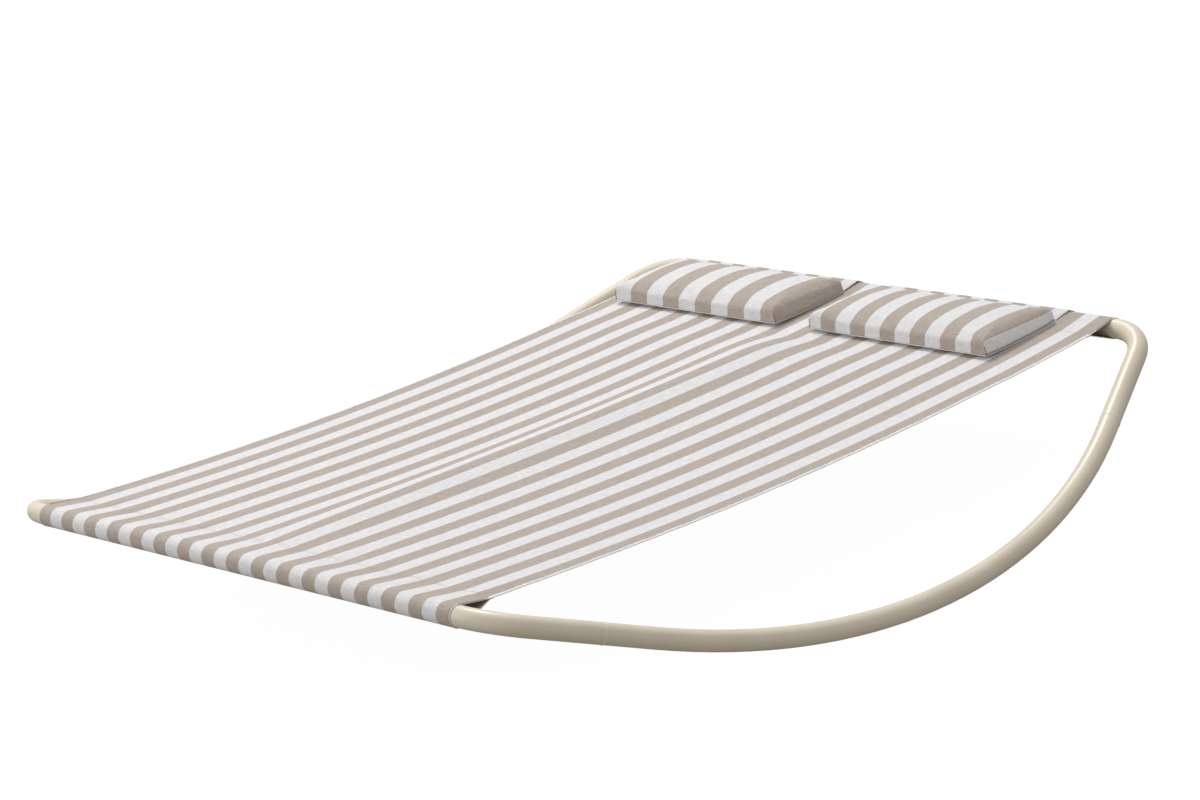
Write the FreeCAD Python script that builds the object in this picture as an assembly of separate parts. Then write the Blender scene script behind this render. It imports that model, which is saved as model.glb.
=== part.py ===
import FreeCAD, Part
import os
from math import acos, asin, atan2, cos, degrees, hypot, radians, sin, sqrt, tan

Vec = FreeCAD.Vector

# Hammock bed on a closed rocking frame of round steel tube.
# Origin: on the floor below the middle of the frame.  +Y runs to the head end, +X to the right, +Z up.

# Frame
frame_length = 1855.0       # over the outsides of the foot bar and the head bar
frame_width = 2000.0        # over the outsides of the two rockers
tube_d = 42.0
tube_wall = 1.5
rail_tilt = 48.2            # plane of each rail, leaning out from vertical, degrees
leg_slope = 29.9            # slope of the straight legs within that plane, degrees
leg_length = 323.0          # corner point of the bar to where the rocker starts to curve
corner_r = 119.0            # centre-line radius of the bar's corner bends
foot_joint = 220.0          # corner point to the foot bar's butt joints with the rockers
head_joint = 294.0          # the same at the head bar

# Swaged spigots that join the rockers to the bars
spigot_length = 60.0
spigot_clearance = 0.2      # radial, spigot in the bar's bore
neck_length = 10.0          # taper inside the rocker, just before the butt joint

# Screws across the joints, M6 with button heads, on the tube's inward underside
screw_d = 5.9
screw_length = 18.0
screw_head_d = 10.5
screw_head_h = 3.3
screw_hole_clearance = 0.3  # radial, in both tube walls and the washer
washer_d = 14.0
washer_h = 2.0              # from the tube's surface to the washer's flat top
nut_across_flats = 10.0
nut_h = 5.0
nut_bore_clearance = 0.05   # radial, stands in for the thread
nut_wall_gap = 0.1          # nut's corners to the spigot's bore

# Sling, one striped sheet with a pocket for each bar
cloth = 1.2                 # thickness of every layer of cloth
pocket_clearance = 0.3      # radial, cloth round the bar
pocket_to_bend = 2.0        # sling's edge to the start of the bar's bend
seam_from_bar = 77.0        # bar's axis to the pocket seam
seam_rise = 9.0             # pocket seam above the bar's axis
sling_sag = 34.0            # middle of the sling below the pocket seams
binding_width = 8.0
binding_cloth = 0.6

# Pillows, lying on the sling and tied to the head bar by a flap each
pillow_left_margin = 44.0   # sling's left edge to the left pillow
pillow_between = 105.0      # left pillow to right pillow
pillow_right_margin = 122.0 # right pillow to the sling's right edge
pillow_depth = 216.0
pillow_front_h = 20.0       # upright part of the front wall
pillow_crown_h = 48.0
pillow_back_h = 26.0
pillow_crown_at = 0.55      # crown's place, as a share of the depth from the back
pillow_to_bar = 46.0        # pillow's back edge to the bar's axis
pillow_gap = 0.5            # pillow's base above the sling
filling_gap = 0.3

# Hook and loop fixing of the flaps, under the head bar
tape = 0.6
tape_inset = 10.0           # tapes' ends from the flap's ends
tape_sweep = 45.0           # angles round the bar, 0 at the back and 90 on top, degrees
tape_to_layer = 5.0         # tapes' lower edge to where the pocket's lower layer leaves the bar
wrap_past_tape = 2.0
wrap_to = 75.0
flap_to = 60.0
flap_running_gap = 0.3      # radial, moving flap over the fixed wrap
flap_seam_gap = 0.3         # flap's sewn edge to the pillow's back edge

# Sizes that follow
tube_r = tube_d / 2
bore_r = tube_r - tube_wall
spigot_r = bore_r - spigot_clearance
spigot_bore_r = spigot_r - tube_wall
bar_y = frame_length / 2 - tube_r
tilt = radians(rail_tilt)
slope = radians(leg_slope)
rocker_r = (bar_y - leg_length * cos(slope)) / sin(slope)
rail_drop = leg_length * sin(slope) + rocker_r * (1 - cos(slope))
corner_x = frame_width / 2 - tube_r - rail_drop * sin(tilt)
bar_z = tube_r + rail_drop * cos(tilt)
bend_turn = acos(sin(tilt) * sin(slope))
bend_tangent = corner_r * tan(bend_turn / 2)
screw_hole_r = screw_d / 2 + screw_hole_clearance
sling_half_width = corner_x - bend_tangent - pocket_to_bend
pocket_r = tube_r + pocket_clearance
pocket_outer_r = pocket_r + cloth
wrap_r = pocket_outer_r + 2 * tape
wrap_outer_r = wrap_r + cloth
flap_r = wrap_outer_r + flap_running_gap
seam_y = bar_y - seam_from_bar
seam_z = bar_z + seam_rise
seam_reach = hypot(seam_from_bar, seam_rise)
lower_layer_leaves = degrees(-atan2(seam_rise, seam_from_bar) + acos(pocket_outer_r / seam_reach)) - 180
tape_from = lower_layer_leaves + tape_to_layer
tape_to = tape_from + tape_sweep
wrap_from = tape_from - wrap_past_tape
pillow_width = sling_half_width - (pillow_left_margin + pillow_between + pillow_right_margin) / 2
left_pillow_x = pillow_left_margin + pillow_width / 2 - sling_half_width
right_pillow_x = left_pillow_x + pillow_width + pillow_between


def save(shape, node):
    shape.exportStep("parts/" + node + ".step")
    print(node, "solids", len(shape.Solids), "volume", round(shape.Volume), "valid", shape.isValid())


# ---- rails: points and paths ----

def leg_direction(side, end):
    """From the bar's corner point down the leg; side is +1 right, end is +1 head."""
    return Vec(side * sin(tilt) * sin(slope), -end * cos(slope), -cos(tilt) * sin(slope))


def corner_point(side, end):
    return Vec(side * corner_x, end * bar_y, bar_z)


def on_leg(side, end, distance):
    return corner_point(side, end) + leg_direction(side, end) * distance


def joint_reach(end):
    """Corner point to the butt joint, at one end."""
    return head_joint if end > 0 else foot_joint


def screw_axis(side, end):
    """Down and towards the middle of the frame, square to the leg."""
    leg = leg_direction(side, end)
    hidden = Vec(-side, 0, -1)
    hidden = hidden - leg * hidden.dot(leg)
    return hidden.normalize()


def screw_point(side, end):
    return on_leg(side, end, joint_reach(end) - spigot_length / 2)


def bend_middle(side, end):
    """Point half way round the corner bend's centre line."""
    corner = corner_point(side, end)
    inward = (leg_direction(side, end) - Vec(side, 0, 0)).normalize()
    return corner + inward * (corner_r / cos(bend_turn / 2) - corner_r)


def bar_path(end):
    edges = []
    left_bend = Vec(bend_tangent - corner_x, end * bar_y, bar_z)
    right_bend = Vec(corner_x - bend_tangent, end * bar_y, bar_z)
    left_leg = on_leg(-1, end, bend_tangent)
    right_leg = on_leg(1, end, bend_tangent)
    edges.append(Part.makeLine(on_leg(-1, end, joint_reach(end)), left_leg))
    edges.append(Part.Arc(left_leg, bend_middle(-1, end), left_bend).toShape())
    edges.append(Part.makeLine(left_bend, right_bend))
    edges.append(Part.Arc(right_bend, bend_middle(1, end), right_leg).toShape())
    edges.append(Part.makeLine(right_leg, on_leg(1, end, joint_reach(end))))
    return Part.Wire(edges)


def rocker_path(side, shorter):
    """Head joint to foot joint, each end cut back by shorter."""
    head_curve = on_leg(side, 1, leg_length)
    foot_curve = on_leg(side, -1, leg_length)
    lowest = Vec(side * (frame_width / 2 - tube_r), 0, tube_r)
    edges = [Part.makeLine(on_leg(side, 1, head_joint + shorter), head_curve)]
    edges.append(Part.Arc(head_curve, lowest, foot_curve).toShape())
    edges.append(Part.makeLine(foot_curve, on_leg(side, -1, foot_joint + shorter)))
    return Part.Wire(edges)


def round_pipe(path, radius, start, direction):
    profile = Part.Wire([Part.makeCircle(radius, start, direction)])
    return path.makePipeShell([profile], True, False)


def leg_cylinder(side, end, radius, first, last):
    leg = leg_direction(side, end)
    return Part.makeCylinder(radius, last - first, on_leg(side, end, first), leg)


# ---- frame ----

def screw_hole(side, end):
    return Part.makeCylinder(screw_hole_r, 2 * tube_r, screw_point(side, end), screw_axis(side, end))


def end_bar(end):
    """Foot or head bar: one tube with two corner bends and two short legs."""
    start = on_leg(-1, end, joint_reach(end))
    along = leg_direction(-1, end)
    path = bar_path(end)
    tube = round_pipe(path, tube_r, start, along).cut(round_pipe(path, bore_r, start, along))
    for side in (-1, 1):
        tube = tube.cut(screw_hole(side, end))
    return tube


def rocker(side):
    """Side rail with a swaged spigot at each end, which goes up into the bar's leg."""
    along = leg_direction(side, 1)
    tube = round_pipe(rocker_path(side, 0), tube_r, on_leg(side, 1, head_joint), along)
    bore_start = on_leg(side, 1, head_joint + neck_length)
    for end in (-1, 1):
        joint = joint_reach(end)
        tube = tube.fuse(leg_cylinder(side, end, spigot_r, joint - spigot_length, joint + neck_length))
    tube = tube.cut(round_pipe(rocker_path(side, neck_length), bore_r, bore_start, along))
    for end in (-1, 1):
        joint = joint_reach(end)
        tube = tube.cut(leg_cylinder(side, end, spigot_bore_r, joint - spigot_length - 1, joint + 0.5))
        leg = leg_direction(side, end)
        neck = Part.makeCone(spigot_bore_r, bore_r, neck_length, on_leg(side, end, joint), leg)
        tube = tube.cut(neck).cut(screw_hole(side, end))
    return tube.removeSplitter()


def all_joints():
    return [(side, end) for side in (-1, 1) for end in (-1, 1)]


def joint_screw(side, end):
    axis = screw_axis(side, end)
    seat = screw_point(side, end) + axis * (tube_r + washer_h)
    head = Part.makeCylinder(screw_head_d / 2, screw_head_h, seat, axis)
    head = head.makeFillet(screw_head_h * 0.6, [head.Edges[0]])
    socket = Part.makeCylinder(screw_d / 3, screw_head_h / 2, seat + axis * screw_head_h / 2, axis)
    shank = Part.makeCylinder(screw_d / 2, screw_length, seat - axis * screw_length, axis)
    return head.fuse(shank).cut(socket).removeSplitter()


def joint_washer(side, end):
    """Saddle washer: flat under the screw's head, hollow where it lies on the tube."""
    axis = screw_axis(side, end)
    centre = screw_point(side, end)
    disc = Part.makeCylinder(washer_d / 2, tube_r + washer_h, centre, axis)
    tube = leg_cylinder(side, end, tube_r, bend_tangent, joint_reach(end))
    return disc.cut(tube).cut(screw_hole(side, end))


def joint_nut(side, end):
    """Hexagon nut welded inside the spigot."""
    axis = screw_axis(side, end)
    corner = nut_across_flats / sqrt(3)
    top = sqrt(spigot_bore_r ** 2 - corner ** 2) - nut_wall_gap
    points = [Vec(corner * cos(radians(60 * i)), corner * sin(radians(60 * i)), 0) for i in range(7)]
    nut = Part.Face(Part.makePolygon(points)).extrude(Vec(0, 0, nut_h))
    nut = nut.cut(Part.makeCylinder(screw_d / 2 + nut_bore_clearance, nut_h))
    nut.Placement = FreeCAD.Placement(screw_point(side, end) + axis * (top - nut_h),
                                      FreeCAD.Rotation(Vec(0, 0, 1), axis))
    return nut


# ---- sling ----

def teardrop(end, radius, tip_y, tip_z):
    """Face round a bar, seen along X, drawn to a point at the pocket seam."""
    reach_y = tip_y - end * bar_y
    reach_z = tip_z - bar_z
    towards = atan2(reach_z, reach_y)
    half = acos(radius / hypot(reach_y, reach_z))
    tip = Vec(0, tip_y, tip_z)
    rim = [Vec(0, end * bar_y + radius * cos(a), bar_z + radius * sin(a))
           for a in (towards + half, towards + radians(180), towards - half)]
    arc = Part.Arc(rim[0], rim[1], rim[2]).toShape()
    return Part.Face(Part.Wire([Part.makeLine(tip, rim[0]), arc, Part.makeLine(rim[2], tip)]))


def sling_band(thickness):
    """Face of the sagging sheet between the pocket seams, seen along X."""
    half = thickness / 2
    top = Part.Arc(Vec(0, -seam_y, seam_z + half), Vec(0, 0, seam_z - sling_sag + half),
                   Vec(0, seam_y, seam_z + half)).toShape()
    bottom = Part.Arc(Vec(0, -seam_y, seam_z - half), Vec(0, 0, seam_z - sling_sag - half),
                      Vec(0, seam_y, seam_z - half)).toShape()
    foot = Part.makeLine(Vec(0, -seam_y, seam_z + half), Vec(0, -seam_y, seam_z - half))
    head = Part.makeLine(Vec(0, seam_y, seam_z + half), Vec(0, seam_y, seam_z - half))
    return Part.Face(Part.Wire([top, head, bottom, foot]))


def across(face, first, last):
    face = face.copy()
    face.translate(Vec(first, 0, 0))
    return face.extrude(Vec(last - first, 0, 0))


def sewn_seam(end, depth):
    """Where the sheet runs into the pocket's two layers."""
    first = end * seam_y
    last = end * (seam_y + depth)
    points = [Vec(0, y, seam_z + z) for y, z in ((first, -cloth / 2), (first, cloth / 2),
                                                 (last, cloth / 2), (last, -cloth / 2), (first, -cloth / 2))]
    return across(Part.Face(Part.makePolygon(points)), -sling_half_width, sling_half_width)


def sling():
    sheet = across(sling_band(cloth), -sling_half_width, sling_half_width)
    for end in (-1, 1):
        tip_spare = cloth / (pocket_outer_r / seam_reach)
        shrink = (seam_reach - tip_spare) / seam_reach
        sheet = sheet.fuse(sewn_seam(end, tip_spare))
        tip_y = end * (bar_y - seam_from_bar * shrink)
        tip_z = bar_z + seam_rise * shrink
        outside = across(teardrop(end, pocket_outer_r, end * seam_y, seam_z),
                         -sling_half_width, sling_half_width)
        inside = across(teardrop(end, pocket_r, tip_y, tip_z), -sling_half_width - 1, sling_half_width + 1)
        sheet = sheet.fuse(outside).cut(inside)
    return sheet.removeSplitter()


def edge_binding(side, sheet):
    """Narrow folded strip along one long edge of the sling, between the pockets."""
    outer = side * (sling_half_width + binding_cloth)
    inner = side * (sling_half_width - binding_width)
    strip = across(sling_band(cloth + 2 * binding_cloth), min(outer, inner), max(outer, inner))
    for end in (-1, 1):
        pocket = across(teardrop(end, pocket_outer_r, end * seam_y, seam_z),
                        -sling_half_width - binding_width, sling_half_width + binding_width)
        strip = strip.cut(pocket)
    strip = strip.cut(sheet)
    return max(strip.Solids, key=lambda solid: solid.Volume)


# ---- pillows ----

def band_height(y):
    """Top of the sagging sheet at y."""
    sheet_r = (seam_y ** 2 + sling_sag ** 2) / (2 * sling_sag)
    return seam_z - sling_sag + sheet_r - sqrt(sheet_r ** 2 - y ** 2) + cloth / 2


def pocket_height(y):
    """Top of the head pocket's upper layer at y, between the seam and the bar."""
    climb = asin(pocket_outer_r / seam_reach) - atan2(seam_rise, seam_from_bar)
    return seam_z + cloth / 2 + (y - seam_y) * tan(climb)


pillow_back_y = bar_y - pillow_to_bar
pillow_front_y = pillow_back_y - pillow_depth
pillow_front_z = band_height(pillow_front_y) + pillow_gap


def pillow_slope():
    """Steep enough to clear both the pocket seam and the pocket's upper layer."""
    to_back = (pocket_height(pillow_back_y) + pillow_gap - pillow_front_z) / pillow_depth
    to_seam = (band_height(seam_y) + pillow_gap - pillow_front_z) / (seam_y - pillow_front_y)
    return atan2(max(to_back, to_seam), 1)


def pillow_place(x):
    """Local frame: origin on the front bottom edge, Y along the base to the back, Z square to it."""
    turn = FreeCAD.Rotation(Vec(1, 0, 0), degrees(pillow_slope()))
    return FreeCAD.Placement(Vec(x, pillow_front_y, pillow_front_z), turn)


def pillow_length():
    return pillow_depth / cos(pillow_slope())


def pillow_back_edge():
    """Back bottom edge, measured from the head bar's axis."""
    return -pillow_to_bar, pillow_front_z + pillow_depth * tan(pillow_slope()) - bar_z


def pillow_block(x, inset, floor):
    """Pillow's outer shape drawn in by inset, from floor up."""
    length = pillow_length()
    front = inset
    back = length - inset
    crown = Vec(0, length * (1 - pillow_crown_at), pillow_crown_h - inset)
    front_top = Vec(0, front, pillow_front_h - inset / 2)
    shoulder = Vec(0, front + (crown.y - front) * 0.3, front_top.z + (crown.z - front_top.z) * 0.68)
    back_top = Vec(0, back, pillow_back_h - inset)
    rear_slope = Vec(0, (crown.y + back) / 2, crown.z - (crown.z - back_top.z) * 0.3)
    edges = [Part.makeLine(Vec(0, front, floor), front_top)]
    edges.append(Part.Arc(front_top, shoulder, crown).toShape())
    edges.append(Part.Arc(crown, rear_slope, back_top).toShape())
    edges.append(Part.makeLine(back_top, Vec(0, back, floor)))
    edges.append(Part.makeLine(Vec(0, back, floor), Vec(0, front, floor)))
    face = Part.Face(Part.Wire(edges))
    half = pillow_width / 2 - inset
    block = across(face, -half, half)
    block.Placement = pillow_place(x).multiply(block.Placement)
    return block


def pillow_cover(x):
    """Top and four walls, open below."""
    return pillow_block(x, 0, 0).cut(pillow_block(x, cloth, -1))


def pillow_base(x):
    """Flat panel sewn inside the walls' lower edge."""
    panel = Part.makeBox(pillow_width - 2 * cloth, pillow_length() - 2 * cloth, cloth,
                         Vec(cloth - pillow_width / 2, cloth, 0))
    panel.Placement = pillow_place(x)
    return panel


def pillow_filling(x):
    return pillow_block(x, cloth + filling_gap, cloth + filling_gap)


def around_bar(radius, angle):
    a = radians(angle)
    return Vec(0, bar_y + radius * cos(a), bar_z + radius * sin(a))


def arc_strip(inner, outer, first, last, x, width):
    """Strip of cloth or tape lying round the head bar between two angles."""
    middle = (first + last) / 2
    edges = [Part.Arc(*[around_bar(inner, a) for a in (first, middle, last)]).toShape()]
    edges.append(Part.makeLine(around_bar(inner, last), around_bar(outer, last)))
    edges.append(Part.Arc(*[around_bar(outer, a) for a in (last, middle, first)]).toShape())
    edges.append(Part.makeLine(around_bar(outer, first), around_bar(inner, first)))
    return across(Part.Face(Part.Wire(edges)), x - width / 2, x + width / 2)


def pillow_flap(x):
    """Moving part of the flap: from the pillow's back seam up on to the bar."""
    edge_y, edge_z = pillow_back_edge()
    reach = hypot(edge_y, edge_z)
    leave = degrees(atan2(edge_z, edge_y) - acos(flap_r / reach))
    over_bar = arc_strip(flap_r, flap_r + cloth, flap_to, leave, x, pillow_width)
    low = around_bar(flap_r, leave)
    high = around_bar(flap_r + cloth, leave)
    back = Vec(0, bar_y + edge_y, bar_z + edge_z) - low
    run = back * ((back.Length - flap_seam_gap) / back.Length)
    corners = [low, low + run, high + run, high, low]
    straight = across(Part.Face(Part.makePolygon(corners)), x - pillow_width / 2, x + pillow_width / 2)
    return over_bar.fuse(straight).removeSplitter()


def bar_wrap(x):
    return arc_strip(wrap_r, wrap_outer_r, wrap_from, wrap_to, x, pillow_width)


def fixing_tape(x, inner):
    return arc_strip(inner, inner + tape, tape_from, tape_to, x, pillow_width - 2 * tape_inset)


# ---- the nodes ----

os.makedirs("parts", exist_ok=True)
print("bar axis z", round(bar_z, 1), "corner x", round(corner_x, 1), "rocker radius", round(rocker_r, 1))
print("sling half width", round(sling_half_width, 1), "pillow slope", round(degrees(pillow_slope()), 2))
print("pillow width", round(pillow_width, 1), "at", round(left_pillow_x, 1), round(right_pillow_x, 1))
print("tape from", round(tape_from, 1), "to", round(tape_to, 1))

save(end_bar(-1), "foot_bar")
save(end_bar(1), "head_bar")
save(rocker(-1), "left_rocker")
save(rocker(1), "right_rocker")
save(Part.makeCompound([joint_screw(*joint) for joint in all_joints()]), "joint_screws")
save(Part.makeCompound([joint_washer(*joint) for joint in all_joints()]), "joint_washers")
save(Part.makeCompound([joint_nut(*joint) for joint in all_joints()]), "joint_nuts")

sling_sheet = sling()
save(sling_sheet, "sling_fabric")
save(edge_binding(-1, sling_sheet), "left_edge_binding")
save(edge_binding(1, sling_sheet), "right_edge_binding")

for name, pillow_x in (("left", left_pillow_x), ("right", right_pillow_x)):
    save(pillow_cover(pillow_x), name + "_pillow_cover")
    save(pillow_base(pillow_x), name + "_pillow_base")
    save(pillow_filling(pillow_x), name + "_pillow_filling")
    save(pillow_flap(pillow_x), name + "_pillow_flap")
    save(bar_wrap(pillow_x), name + "_bar_wrap")
    save(fixing_tape(pillow_x, pocket_outer_r), name + "_loop_tape")
    save(fixing_tape(pillow_x, pocket_outer_r + tape), name + "_hook_tape")
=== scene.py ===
from math import acos, atan, atan2, cos, hypot, pi, radians, sin

import bpy
import numpy as np
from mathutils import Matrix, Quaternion, Vector


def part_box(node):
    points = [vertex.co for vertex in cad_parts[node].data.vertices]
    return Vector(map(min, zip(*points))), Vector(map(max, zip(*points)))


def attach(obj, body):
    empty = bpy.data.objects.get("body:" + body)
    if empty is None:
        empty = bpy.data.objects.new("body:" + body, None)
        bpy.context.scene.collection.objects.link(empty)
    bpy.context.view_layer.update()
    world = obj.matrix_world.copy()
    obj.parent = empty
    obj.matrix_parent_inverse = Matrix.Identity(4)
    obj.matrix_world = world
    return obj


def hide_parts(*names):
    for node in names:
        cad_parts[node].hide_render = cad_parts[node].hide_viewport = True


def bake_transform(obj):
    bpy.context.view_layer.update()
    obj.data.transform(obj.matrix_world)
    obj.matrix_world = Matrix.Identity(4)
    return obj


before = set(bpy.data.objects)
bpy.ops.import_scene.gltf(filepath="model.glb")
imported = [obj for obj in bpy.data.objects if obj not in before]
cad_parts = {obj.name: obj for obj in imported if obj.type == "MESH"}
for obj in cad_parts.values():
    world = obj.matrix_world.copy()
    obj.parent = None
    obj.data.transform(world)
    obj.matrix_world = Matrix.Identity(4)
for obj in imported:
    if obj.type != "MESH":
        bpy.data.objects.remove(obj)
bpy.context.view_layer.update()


# ---- Foot bar, head bar and the two rockers ----
# Round steel tube, 42 mm, bent at the corners and rolled to a long curve on the rockers.
# Every tube is sprayed and baked with a cream powder coat, which dries to a fine orange peel.

TUBE_R = 0.021
CREAM = (0.76, 0.67, 0.53, 1)
CREAM_THIN = (0.70, 0.61, 0.475, 1)
COAT_ROUGHNESS = 0.36
COAT_SHINE = 0.42
COAT_CLOUDS = 7.0
ORANGE_PEEL = 620.0
ORANGE_PEEL_DEPTH = 0.00012
ORANGE_PEEL_STRENGTH = 0.14


def add_step(tree, kind, inputs, **settings):
    """One node of a finish, with its settings made and its inputs set or linked."""
    step = tree.nodes.new(kind)
    for name, value in settings.items():
        setattr(step, name, value)
    for name, value in inputs.items():
        if isinstance(value, bpy.types.NodeSocket):
            tree.links.new(value, step.inputs[name])
        else:
            step.inputs[name].default_value = value
    return step


def start_finish(name):
    """A new finish: its node tree and its surface shader."""
    made = bpy.data.materials.new(name)
    made.use_nodes = True
    return made, made.node_tree, made.node_tree.nodes["Principled BSDF"]


def shade_between(tree, share, low, high, from_share=0.0, to_share=1.0):
    """A colour that goes from low to high as share does."""
    ramp = add_step(tree, "ShaderNodeValToRGB", {"Fac": share})
    first, last = ramp.color_ramp.elements
    first.position, first.color = from_share, low
    last.position, last.color = to_share, high
    return ramp.outputs["Color"]


def powder_coat(name, colour, thin):
    """Baked powder: cloudy where the coat is thinner, with the fine bumps of an orange peel."""
    made, tree, surface = start_finish(name)
    place = tree.nodes.new("ShaderNodeTexCoord").outputs["Object"]
    cloudy = add_step(tree, "ShaderNodeTexNoise", {"Vector": place, "Scale": COAT_CLOUDS, "Detail": 4.0})
    peel = add_step(tree, "ShaderNodeTexNoise", {"Vector": place, "Scale": ORANGE_PEEL, "Detail": 2.0})
    tone = shade_between(tree, cloudy.outputs["Fac"], thin, colour, 0.3, 0.6)
    gloss = add_step(tree, "ShaderNodeMapRange", {
        "Value": cloudy.outputs["Fac"], "To Min": COAT_ROUGHNESS - 0.04, "To Max": COAT_ROUGHNESS + 0.06})
    bumps = add_step(tree, "ShaderNodeBump", {
        "Height": peel.outputs["Fac"], "Strength": ORANGE_PEEL_STRENGTH, "Distance": ORANGE_PEEL_DEPTH})
    tree.links.new(tone, surface.inputs["Base Color"])
    tree.links.new(gloss.outputs["Result"], surface.inputs["Roughness"])
    tree.links.new(bumps.outputs["Normal"], surface.inputs["Normal"])
    surface.inputs["Specular IOR Level"].default_value = COAT_SHINE
    return made


def coat_node(node, finish):
    """Gives one CAD node its finish, and leaves its shape alone."""
    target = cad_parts[node]
    target.data.materials.clear()
    target.data.materials.append(finish)


cream_coat = powder_coat("cream_powder_coat", CREAM, CREAM_THIN)
for tube in ("foot_bar", "head_bar", "left_rocker", "right_rocker"):
    coat_node(tube, cream_coat)


# ---- Rolled lips at the four butt joints ----
# Where a bar meets a rocker, the bar's cut end is rolled to a thin lip, which stands a little under a
# millimetre proud.
# Its coat is painted paler, a painted highlight for the bright ring that the lip catches.

RAIL_TILT = radians(48.2)
LEG_SLOPE = radians(29.9)
RIM_DEPTH = 0.0004
LIP_R = 0.0012
LIP_FLATTENED = 0.5
LIP_PROUD = 0.0002
LIP_HIGHLIGHT_COLOUR = (0.90, 0.85, 0.74, 1)
LIP_HIGHLIGHT_DIM = (0.80, 0.74, 0.62, 1)
LIP_STEPS = 72
LIP_SIDES = 8


def open_end(bar, side, end):
    """Middle and direction of a bar's open end, on one side of the frame."""
    leg = np.array([side * sin(RAIL_TILT) * sin(LEG_SLOPE), -end * cos(LEG_SLOPE),
                    -cos(RAIL_TILT) * sin(LEG_SLOPE)])
    points = np.array([v.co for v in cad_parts[bar].data.vertices])
    points = points[points[:, 0] * side > 0]
    reach = points @ leg
    rim = points[reach > reach.max() - RIM_DEPTH]
    return (rim.min(0) + rim.max(0)) / 2, leg


def rolled_lip(middle, leg):
    """Points of one lip, a ring of small round section about the leg's line."""
    sideways = np.cross(leg, [0.0, 0.0, 1.0])
    sideways /= np.linalg.norm(sideways)
    upward = np.cross(sideways, leg)
    rings = []
    for turn in np.linspace(0, 2 * pi, LIP_STEPS, endpoint=False):
        outward = sideways * cos(turn) + upward * sin(turn)
        for roll in np.linspace(0, 2 * pi, LIP_SIDES, endpoint=False):
            reach = TUBE_R + LIP_PROUD + LIP_R * cos(roll) * LIP_FLATTENED
            rings.append(middle + outward * reach + leg * LIP_R * sin(roll))
    return np.array(rings)


def ring_faces(steps, sides, first):
    """Quads of a closed ring whose points run round its section, step by step."""
    faces = []
    for step in range(steps):
        here, following = first + step * sides, first + (step + 1) % steps * sides
        for side in range(sides):
            turn = (side + 1) % sides
            faces.append((here + side, following + side, following + turn, here + turn))
    return faces


def place_mesh(name, points, faces, finish):
    """A smooth mesh object from points and faces."""
    mesh = bpy.data.meshes.new(name)
    mesh.from_pydata([tuple(p) for p in np.asarray(points, float)], [], [tuple(map(int, f)) for f in faces])
    mesh.shade_smooth()
    mesh.materials.append(finish)
    made = bpy.data.objects.new(name, mesh)
    bpy.context.scene.collection.objects.link(made)
    return made


lip_points, lip_faces = [], []
for bar, end in (("foot_bar", -1), ("head_bar", 1)):
    for side in (-1, 1):
        lip_faces += ring_faces(LIP_STEPS, LIP_SIDES, len(lip_points))
        lip_points += list(rolled_lip(*open_end(bar, side, end)))
# The lips' pale coat is a painted highlight.
lip_highlight_coat = powder_coat("painted_highlight_coat", LIP_HIGHLIGHT_COLOUR, LIP_HIGHLIGHT_DIM)
joint_lips = place_mesh("joint_lips", lip_points, lip_faces, lip_highlight_coat)
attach(joint_lips, "frame")


# ---- Joint screws, washers and nuts ----
# An M6 button-head screw holds each joint from the side that faces in and down, over a washer shaped
# to the tube.  Its nut is welded inside the spigot.  All is zinc plated, with a faint bluish mottle.

ZINC = (0.56, 0.57, 0.59, 1)
ZINC_DULL = (0.44, 0.45, 0.465, 1)
ZINC_MOTTLE = 420.0
ZINC_GRAIN = 2400.0
ZINC_GRAIN_DEPTH = 0.00004
ZINC_SMOOTHEST = 0.26
ZINC_ROUGHEST = 0.46


def zinc_plate():
    """Bright zinc with a cloudy mottle and a fine grain."""
    made, tree, surface = start_finish("zinc_plate")
    place = tree.nodes.new("ShaderNodeTexCoord").outputs["Object"]
    mottle = add_step(tree, "ShaderNodeTexNoise", {"Vector": place, "Scale": ZINC_MOTTLE, "Detail": 5.0})
    grain = add_step(tree, "ShaderNodeTexNoise", {"Vector": place, "Scale": ZINC_GRAIN, "Detail": 2.0})
    tone = shade_between(tree, mottle.outputs["Fac"], ZINC_DULL, ZINC, 0.35, 0.65)
    dull = add_step(tree, "ShaderNodeMapRange", {
        "Value": mottle.outputs["Fac"], "To Min": ZINC_SMOOTHEST, "To Max": ZINC_ROUGHEST})
    bumps = add_step(tree, "ShaderNodeBump", {"Height": grain.outputs["Fac"], "Strength": 0.2,
                                              "Distance": ZINC_GRAIN_DEPTH})
    tree.links.new(tone, surface.inputs["Base Color"])
    tree.links.new(dull.outputs["Result"], surface.inputs["Roughness"])
    tree.links.new(bumps.outputs["Normal"], surface.inputs["Normal"])
    surface.inputs["Metallic"].default_value = 1.0
    return made


plate = zinc_plate()
for hardware in ("joint_screws", "joint_washers", "joint_nuts"):
    coat_node(hardware, plate)


# ---- Sling ----
# One length of woven canvas with lengthwise taupe and white stripes, turned round each bar
# and sewn down to make its pocket.  It hangs between the bars, tight along its middle line, and puckers
# a little at the pocket seams.

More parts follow.
